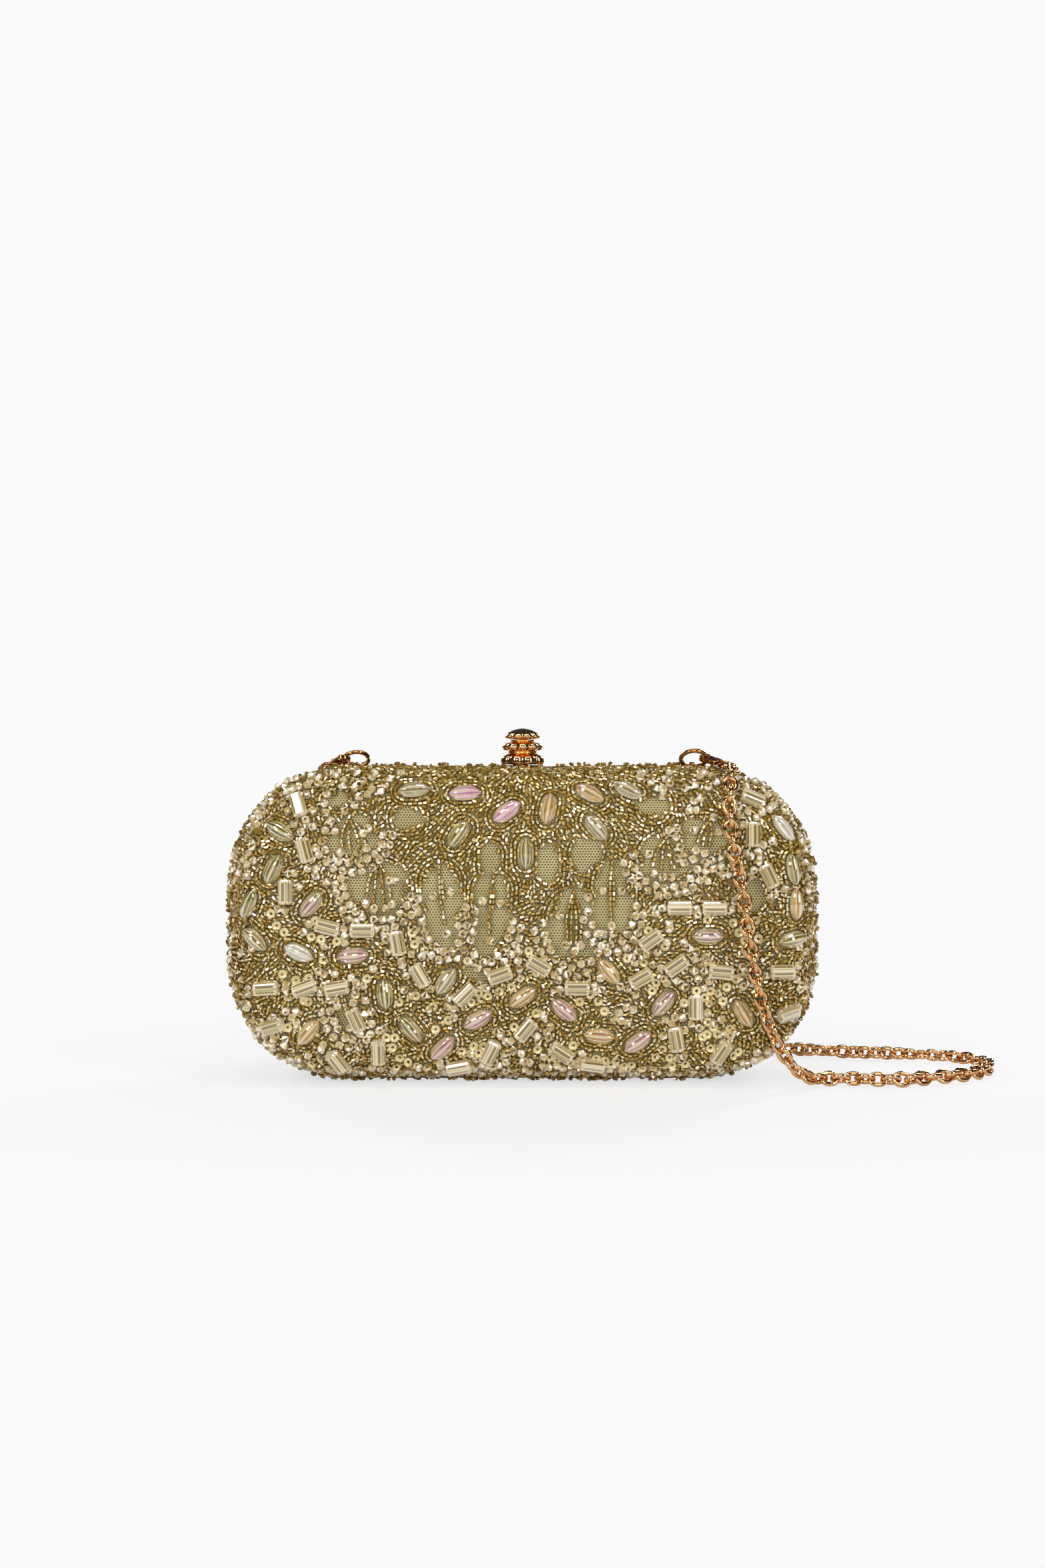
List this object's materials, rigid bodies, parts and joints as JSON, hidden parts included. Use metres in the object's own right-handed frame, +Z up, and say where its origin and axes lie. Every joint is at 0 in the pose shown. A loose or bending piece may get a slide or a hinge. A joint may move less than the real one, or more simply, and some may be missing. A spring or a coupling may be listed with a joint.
{
  "type": "evening bag",
  "caption": "Hard-shell evening bag covered in glass beads, with a press knob on top, halves hinged at the base and a clip-on chain strap.",
  "frame": {"origin": "middle of the base, in the seam plane between the two halves", "axes": "+X to the right along the bag's width, +Y to the back, +Z up"},
  "size_m": [0.2491, 0.1662, 0.1128],
  "materials": {
    "seed_beads": "gold-lined glass seed beads, sewn close together",
    "net": "khaki net over satin",
    "shell_board": "moulded rigid shell",
    "satin_lining": "champagne satin",
    "gold_metal": "polished rose-gold plate",
    "dark_gold_metal": "polished rose-gold plate, seen dark inside the fitting",
    "spring_steel": "drawn wire",
    "oval_stones": "iridescent crystal",
    "block_stones": "clear champagne crystal"
  },
  "bodies": {
    "front_half": {"front_beadwork": "seed_beads", "front_net_cover": "net", "front_shell": "shell_board", "front_lining": "satin_lining", "front_frame": "gold_metal", "front_navettes": "oval_stones", "front_block_beads": "block_stones", "front_hinge_leaves": "dark_gold_metal", "hinge_pins": "gold_metal", "lock_plate": "gold_metal", "knob_collar": "dark_gold_metal", "knob_spring": "spring_steel", "right_lug": "gold_metal", "chain_front": "gold_metal", "chain_floor": "gold_metal", "chain_coil": "gold_metal", "chain_back": "gold_metal"},
    "back_half": {"back_beadwork": "seed_beads", "back_net_cover": "net", "back_shell": "shell_board", "back_lining": "satin_lining", "back_frame": "gold_metal", "back_navettes": "oval_stones", "back_block_beads": "block_stones", "slip_pocket": "satin_lining", "back_hinge_leaves": "dark_gold_metal", "latch_catch": "gold_metal", "left_lug": "gold_metal"},
    "knob": {"knob_rod": "dark_gold_metal", "knob_skirt": "gold_metal", "knob_middle": "gold_metal", "knob_crown": "gold_metal", "latch_hook": "dark_gold_metal"},
    "right_strap_ring": {"right_ring": "gold_metal", "right_clasp": "gold_metal", "right_clasp_pin": "dark_gold_metal", "right_jump_ring": "gold_metal"},
    "right_gate": {"right_clasp_gate": "dark_gold_metal"},
    "left_strap_ring": {"left_ring": "gold_metal", "left_clasp": "gold_metal", "left_clasp_pin": "dark_gold_metal", "left_jump_ring": "gold_metal"},
    "left_gate": {"left_clasp_gate": "dark_gold_metal"}
  },
  "joints": [
    {"name": "lid_hinge", "type": "hinge", "parent": "front_half", "child": "back_half", "pos_m": [0, 0, 0.0013], "axis": [-1, 0, 0], "range_deg": [0, 45], "deforming": ["chain_back"]},
    {"name": "knob_press", "type": "slide", "parent": "front_half", "child": "knob", "axis": [0, 0, -1], "range_m": [0, 0.0022], "stiffness_N_per_m": 600, "springref_m": -0.0015, "deforming": ["knob_spring"]},
    {"name": "right_ring_swing", "type": "hinge", "parent": "front_half", "child": "right_strap_ring", "pos_m": [0.055, -0.005, 0.1002], "axis": [-1, 0, 0], "range_deg": [0, 25], "deforming": ["chain_front"]},
    {"name": "left_ring_swing", "type": "hinge", "parent": "back_half", "child": "left_strap_ring", "pos_m": [-0.055, 0.005, 0.1002], "axis": [1, 0, 0], "range_deg": [0, 25]},
    {"name": "right_clasp_gate_press", "type": "hinge", "parent": "right_strap_ring", "child": "right_gate", "pos_m": [0.0625, -0.01025, 0.10208], "axis": [0, -0.342, 0.9397], "range_deg": [0, 12], "stiffness_Nm_per_rad": 0.002, "springref_deg": -5.73},
    {"name": "left_clasp_gate_press", "type": "hinge", "parent": "left_strap_ring", "child": "left_gate", "pos_m": [-0.0625, 0.01025, 0.10208], "axis": [0, 0.342, 0.9397], "range_deg": [0, 12], "stiffness_Nm_per_rad": 0.002, "springref_deg": -5.73}
  ]
}
